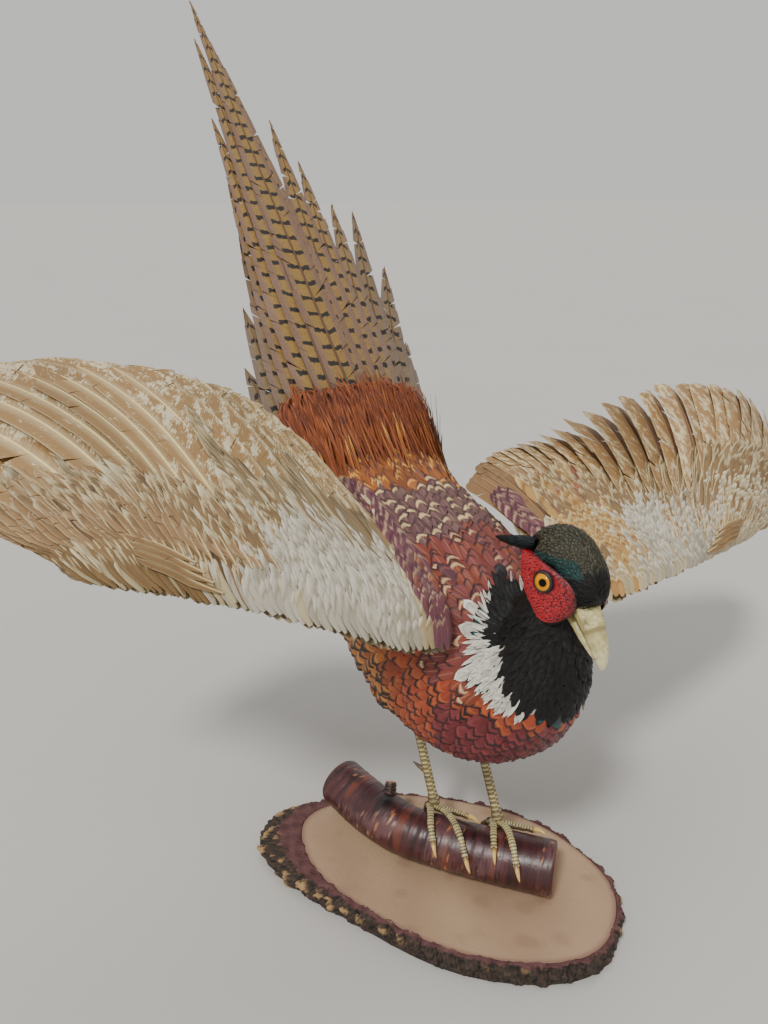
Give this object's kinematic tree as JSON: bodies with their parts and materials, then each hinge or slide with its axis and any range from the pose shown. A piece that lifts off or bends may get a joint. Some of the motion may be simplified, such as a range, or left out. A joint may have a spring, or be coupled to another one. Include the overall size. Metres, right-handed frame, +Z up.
{
  "type": "taxidermy pheasant",
  "caption": "Life-size mounted cock pheasant with spread wings and raised barred tail, standing on a bent branch on a slice of wood.",
  "frame": {"origin": "on the flat underside of the wood slice, near its middle", "axes": "+Z up, the bird faces -Y, and its right side is towards -X"},
  "size_m": [0.7195, 0.5927, 0.6191],
  "materials": {
    "slice_wood": "sanded, unpolished pale wood with a purple-brown ring under the bark",
    "slice_bark": "rough dark bark with pale tan scales at one end",
    "cherry_bark": "smooth glossy red-brown bark with fine crosswise marks",
    "body_feather": "copper and maroon scale feathers with dark tips, soft sheen",
    "neck_feather": "glossy blue-black feathers with a broken white ring",
    "head_feather": "short bronze-green feathers, black over the bill",
    "rump_feather": "long loose fox-red feathers",
    "covert_feather": "cream and buff small wing feathers, matt",
    "flight_feather": "tan vanes with broken cream bars and straw shafts, matt",
    "tail_feather": "olive-buff vanes with short black bars, matt",
    "bill": "pale mottled horn, satin",
    "claw": "yellowish horn, satin",
    "leg_skin": "dry scaly brown skin with pale scute edges",
    "wattle": "bright red skin with fine pimples, satin",
    "eye": "clear glossy glass eye, orange iris and black pupil"
  },
  "bodies": {
    "root": {"base_wood": "slice_wood", "base_bark": "slice_bark", "perch_branch": "cherry_bark", "trunk": "body_feather", "neck": "neck_feather", "head": "head_feather", "bill_upper": "bill", "bill_lower": "bill", "eye_right": "eye", "wattle_right": "wattle", "ear_tuft_right": "neck_feather", "leg_right_thigh": "body_feather", "leg_right_shank": "leg_skin", "foot_right": "leg_skin", "claw_right_1": "claw", "claw_right_2": "claw", "claw_right_3": "claw", "claw_right_4": "claw", "wing_right_arm": "covert_feather", "wing_right_tertials": "flight_feather", "wing_right_secondaries": "flight_feather", "wing_right_primaries": "flight_feather", "wing_right_alula": "flight_feather", "eye_left": "eye", "wattle_left": "wattle", "ear_tuft_left": "neck_feather", "leg_left_thigh": "body_feather", "leg_left_shank": "leg_skin", "foot_left": "leg_skin", "claw_left_1": "claw", "claw_left_2": "claw", "claw_left_3": "claw", "claw_left_4": "claw", "wing_left_arm": "covert_feather", "wing_left_tertials": "flight_feather", "wing_left_secondaries": "flight_feather", "wing_left_primaries": "flight_feather", "wing_left_alula": "flight_feather", "tail_coverts": "rump_feather", "tail_feather_01": "tail_feather", "tail_feather_02": "tail_feather", "tail_feather_03": "tail_feather", "tail_feather_04": "tail_feather", "tail_feather_05": "tail_feather", "tail_feather_06": "tail_feather", "tail_feather_07": "tail_feather", "tail_feather_08": "tail_feather", "tail_feather_09": "tail_feather", "tail_feather_10": "tail_feather", "tail_feather_11": "tail_feather", "tail_feather_12": "tail_feather", "tail_feather_13": "tail_feather", "tail_feather_14": "tail_feather"}
  },
  "joints": []
}
